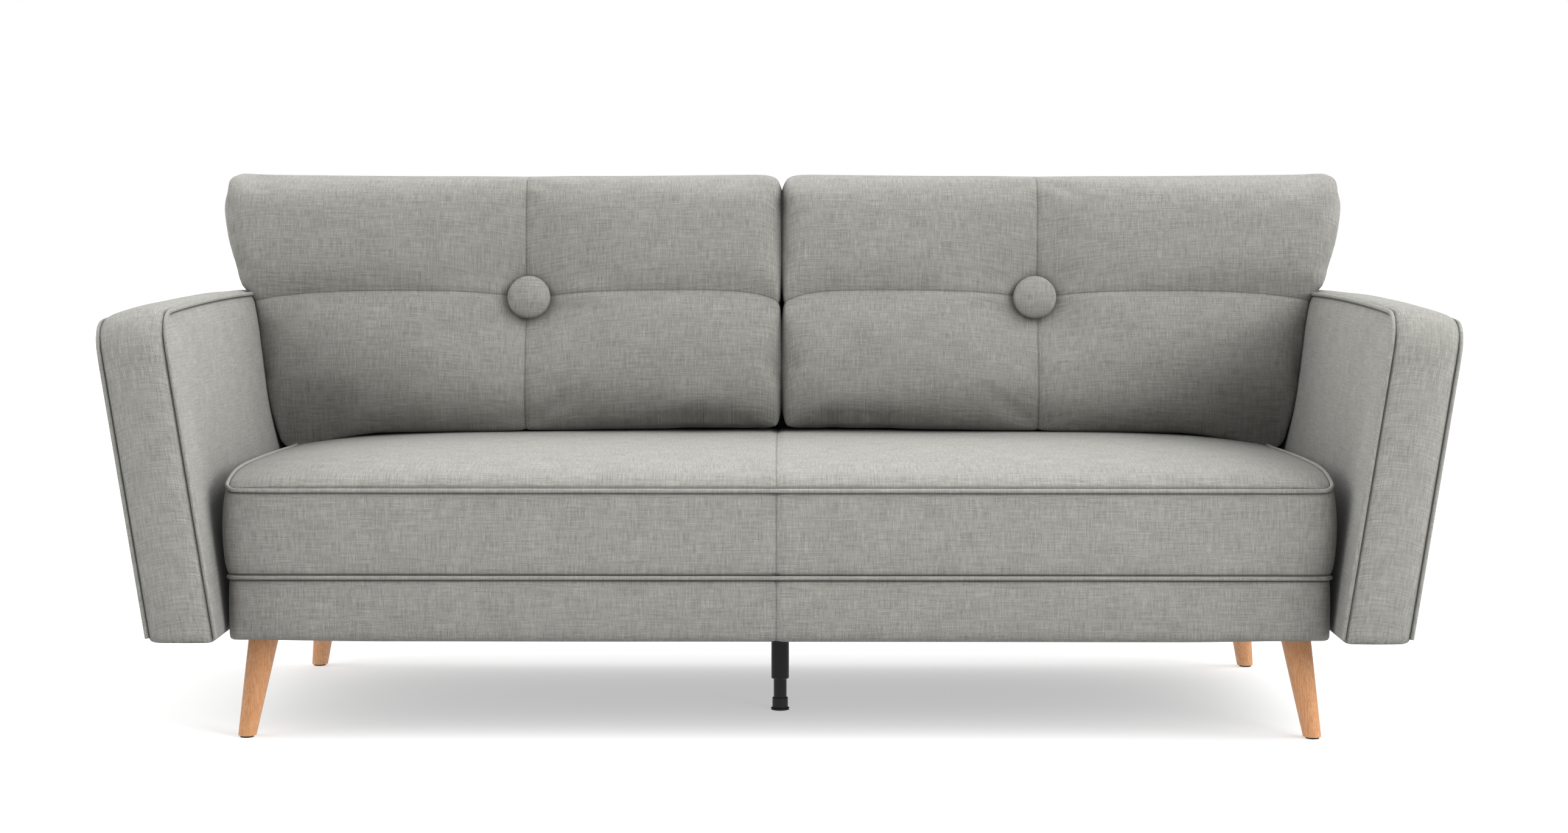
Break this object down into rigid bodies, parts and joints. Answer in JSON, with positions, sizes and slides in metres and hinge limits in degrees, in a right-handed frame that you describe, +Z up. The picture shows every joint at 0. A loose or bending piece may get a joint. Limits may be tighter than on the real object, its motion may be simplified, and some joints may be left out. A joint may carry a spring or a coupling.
{
  "type": "sofa",
  "caption": "Upholstered sofa with flared piped arms, tufted back cushions, splayed round wooden legs and a telescopic middle support leg.",
  "frame": {"origin": "on the floor, under the middle of the sofa", "axes": "+X to the right as seen from the front, +Y to the back, +Z up"},
  "size_m": [2.1438, 0.8983, 0.9108],
  "materials": {
    "grey_upholstery": "linen-look heathered grey weave",
    "foam": "upholstery foam and fibre",
    "pine_frame": "sawn",
    "hardboard": "smooth face",
    "beech": "clear satin lacquer",
    "spring_steel": "oiled wire",
    "zinc_steel": "zinc plated",
    "black_powder_coat": "satin powder coat",
    "black_nylon": "moulded",
    "black_cloth": "non-woven cloth and woven strap"
  },
  "bodies": {
    "frame": {"arm_boards_left": "hardboard", "arm_boards_right": "hardboard", "arm_bolts": "zinc_steel", "arm_bottom_rail_left": "pine_frame", "arm_bottom_rail_right": "pine_frame", "arm_cover_left": "grey_upholstery", "arm_cover_right": "grey_upholstery", "arm_padding_left": "foam", "arm_padding_right": "foam", "arm_piping_inner_left": "grey_upholstery", "arm_piping_inner_right": "grey_upholstery", "arm_piping_outer_left": "grey_upholstery", "arm_piping_outer_right": "grey_upholstery", "arm_posts_left": "pine_frame", "arm_posts_right": "pine_frame", "arm_spacers": "black_nylon", "arm_top_rail_left": "pine_frame", "arm_top_rail_right": "pine_frame", "back_brackets": "zinc_steel", "back_cover": "grey_upholstery", "back_padding": "foam", "back_posts": "pine_frame", "back_top_rail": "pine_frame", "back_webbing": "black_cloth", "base_cover": "grey_upholstery", "base_padding": "foam", "centre_leg_bush": "black_nylon", "centre_leg_plate": "black_powder_coat", "centre_leg_tube": "black_powder_coat", "centre_rail": "pine_frame", "corner_blocks": "pine_frame", "dust_cover": "black_cloth", "front_rail": "pine_frame", "leg_front_left": "beech", "leg_front_right": "beech", "leg_glides": "black_nylon", "leg_hanger_bolts": "zinc_steel", "leg_plates": "zinc_steel", "leg_rear_left": "beech", "leg_rear_right": "beech", "plate_screws": "zinc_steel", "rear_rail": "pine_frame", "seat_cover": "grey_upholstery", "seat_foam": "foam", "seat_insulator": "foam", "seat_piping_lower": "grey_upholstery", "seat_piping_upper": "grey_upholstery", "seat_springs": "spring_steel", "side_rail_left": "pine_frame", "side_rail_right": "pine_frame", "spring_clips": "spring_steel"},
    "centre_leg_inner": {"centre_leg_inner_tube": "black_powder_coat", "centre_leg_foot": "black_nylon"},
    "back_cushion_left": {"back_cushion_fill_left": "foam", "back_cushion_cover_left": "grey_upholstery", "cushion_button_left": "grey_upholstery"},
    "back_cushion_right": {"back_cushion_fill_right": "foam", "back_cushion_cover_right": "grey_upholstery", "cushion_button_right": "grey_upholstery"}
  },
  "joints": [
    {"name": "centre_leg_extend", "type": "slide", "parent": "frame", "child": "centre_leg_inner", "axis": [0, 0, -1], "range_m": [-0.032, 0.02]},
    {"name": "back_cushion_left_lift", "type": "slide", "parent": "frame", "child": "back_cushion_left", "axis": [0, 0.1736, 0.9848], "range_m": [0, 0.45]},
    {"name": "back_cushion_right_lift", "type": "slide", "parent": "frame", "child": "back_cushion_right", "axis": [0, 0.1736, 0.9848], "range_m": [0, 0.45]}
  ]
}
